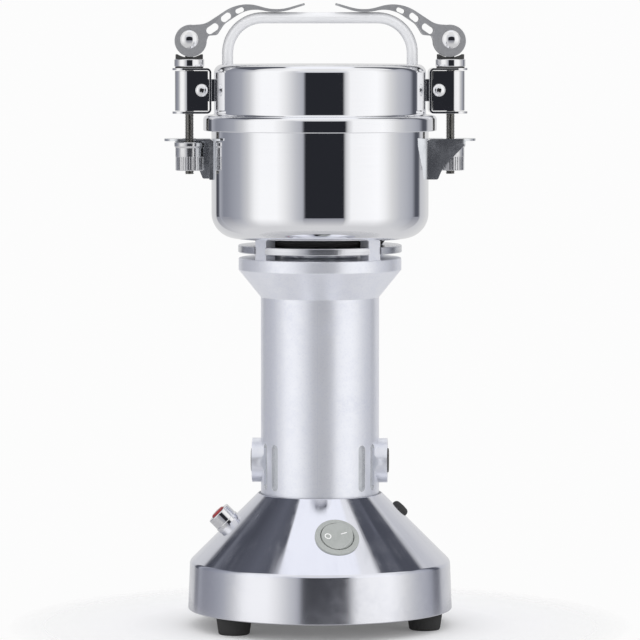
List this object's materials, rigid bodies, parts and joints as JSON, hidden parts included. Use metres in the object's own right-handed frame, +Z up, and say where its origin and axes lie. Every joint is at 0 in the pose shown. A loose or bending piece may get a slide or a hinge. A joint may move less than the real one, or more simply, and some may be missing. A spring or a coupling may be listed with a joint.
{
  "type": "electric grain mill",
  "caption": "Bench grain mill: flared base with rocker, pulse and reset buttons, motor column, steel bowl with spinning blades, and a lid with a bail handle and cam-lever clamps.",
  "frame": {"origin": "on the ground, at the centre of the base", "axes": "+Z up; -Y is the front, where the switch is; the two clamps stand on the X axis"},
  "size_m": [0.168, 0.1432, 0.3368],
  "materials": {
    "cast_aluminium_polished": "polished casting",
    "silver_paint": "satin silver hammer-grain paint",
    "polished_steel": "mirror polished stainless steel",
    "chrome_plate": "bright chrome plate",
    "satin_casting": "satin grey die casting",
    "black_oxide": "blackened threaded steel",
    "handle_silver": "satin silver",
    "black_rubber": "matt",
    "black_plastic": "matt",
    "grey_plastic": "satin",
    "red_plastic": "gloss",
    "zinc_steel": "zinc plated",
    "steel": "ground steel",
    "laminated_steel": "varnished laminations",
    "copper_wire": "enamelled winding",
    "brass": "turned",
    "carbon": "pressed carbon",
    "white_silicone": "matt"
  },
  "bodies": {
    "stand": {"base_housing": "cast_aluminium_polished", "base_plate": "zinc_steel", "bearing_bracket": "zinc_steel", "bowl": "polished_steel", "bowl_gasket": "black_rubber", "bowl_screws": "polished_steel", "brush_cap_left": "black_plastic", "brush_cap_right": "black_plastic", "brush_holders": "brass", "brush_springs": "steel", "carbon_brushes": "carbon", "catch_left": "polished_steel", "catch_right": "polished_steel", "cord_gland": "black_rubber", "deflector_plate": "polished_steel", "field_coils": "copper_wire", "foot_left": "black_rubber", "foot_rear": "black_rubber", "foot_right": "black_rubber", "foot_screws": "zinc_steel", "lower_bearing": "steel", "motor_stator": "laminated_steel", "pulse_bezel": "chrome_plate", "rocker_bezel": "grey_plastic", "shaft_seal": "black_rubber", "tower_casting": "silver_paint", "tower_screws": "zinc_steel", "upper_bearing": "steel"},
    "rotor": {"motor_shaft": "steel", "armature_core": "laminated_steel", "commutator": "brass", "cooling_fan": "black_plastic", "lower_blade": "polished_steel", "upper_blade": "polished_steel", "blade_spacer": "steel", "blade_nut": "polished_steel"},
    "switch_rocker": {"rocker": "grey_plastic"},
    "pulse_plunger": {"pulse_button": "red_plastic"},
    "reset_plunger": {"reset_button": "black_rubber"},
    "lid": {"lid_shell": "polished_steel", "lid_seal": "white_silicone", "lid_handle": "handle_silver", "handle_screws": "zinc_steel", "channel_left": "polished_steel", "channel_right": "polished_steel", "strap_left": "chrome_plate", "strap_right": "chrome_plate", "strap_screws": "chrome_plate", "saddle_cup_left": "chrome_plate", "saddle_cup_right": "chrome_plate", "saddle_left": "black_plastic", "saddle_right": "black_plastic"},
    "clamp_rod_left": {"rod_left": "black_oxide", "pin_left": "chrome_plate"},
    "clamp_rod_right": {"rod_right": "black_oxide", "pin_right": "chrome_plate"},
    "clamp_lever_left": {"lever_left": "satin_casting"},
    "clamp_lever_right": {"lever_right": "satin_casting"},
    "clamp_nut_left": {"nut_left": "chrome_plate"},
    "clamp_nut_right": {"nut_right": "chrome_plate"}
  },
  "joints": [
    {"name": "rotor_spin", "type": "hinge", "parent": "stand", "child": "rotor", "pos_m": [0, 0, 0.15], "axis": [0, 0, 1], "continuous": true},
    {"name": "switch_rock", "type": "hinge", "parent": "stand", "child": "switch_rocker", "pos_m": [0.00716, -0.05094, 0.05269], "axis": [-0.0985, 0.7012, 0.7061], "range_deg": [0, 15]},
    {"name": "pulse_press", "type": "slide", "parent": "stand", "child": "pulse_plunger", "axis": [0.7061, 0, -0.7081], "range_m": [0, 0.002], "stiffness_N_per_m": 400, "springref_m": -0.001},
    {"name": "reset_press", "type": "slide", "parent": "stand", "child": "reset_plunger", "axis": [-0.6993, -0.0983, -0.7081], "range_m": [0, 0.0015], "stiffness_N_per_m": 400, "springref_m": -0.001},
    {"name": "lid_turn", "type": "hinge", "parent": "stand", "child": "lid", "pos_m": [0, 0, 0.274], "axis": [0, 0, 1], "range_deg": [0, 40]},
    {"name": "rod_drop_left", "type": "slide", "parent": "lid", "child": "clamp_rod_left", "axis": [0, 0, 1], "range_m": [-0.0015, 0]},
    {"name": "lever_swing_left", "type": "hinge", "parent": "clamp_rod_left", "child": "clamp_lever_left", "pos_m": [-0.07045, 0, 0.3173], "axis": [0, -1, 0], "range_deg": [0, 160]},
    {"name": "nut_turn_left", "type": "hinge", "parent": "clamp_rod_left", "child": "clamp_nut_left", "pos_m": [-0.07045, 0, 0.2547], "axis": [0, 0, 1], "continuous": true},
    {"name": "rod_drop_right", "type": "slide", "parent": "lid", "child": "clamp_rod_right", "axis": [0, 0, 1], "range_m": [-0.0015, 0]},
    {"name": "lever_swing_right", "type": "hinge", "parent": "clamp_rod_right", "child": "clamp_lever_right", "pos_m": [0.07045, 0, 0.3173], "axis": [0, 1, 0], "range_deg": [0, 160]},
    {"name": "nut_turn_right", "type": "hinge", "parent": "clamp_rod_right", "child": "clamp_nut_right", "pos_m": [0.07045, 0, 0.2547], "axis": [0, 0, 1], "continuous": true}
  ],
  "couplings": [
    {"joint": "lever_swing_left", "follows": "rod_drop_left", "rad_per_m": -1861.7},
    {"joint": "lever_swing_right", "follows": "rod_drop_right", "rad_per_m": -1861.7}
  ]
}
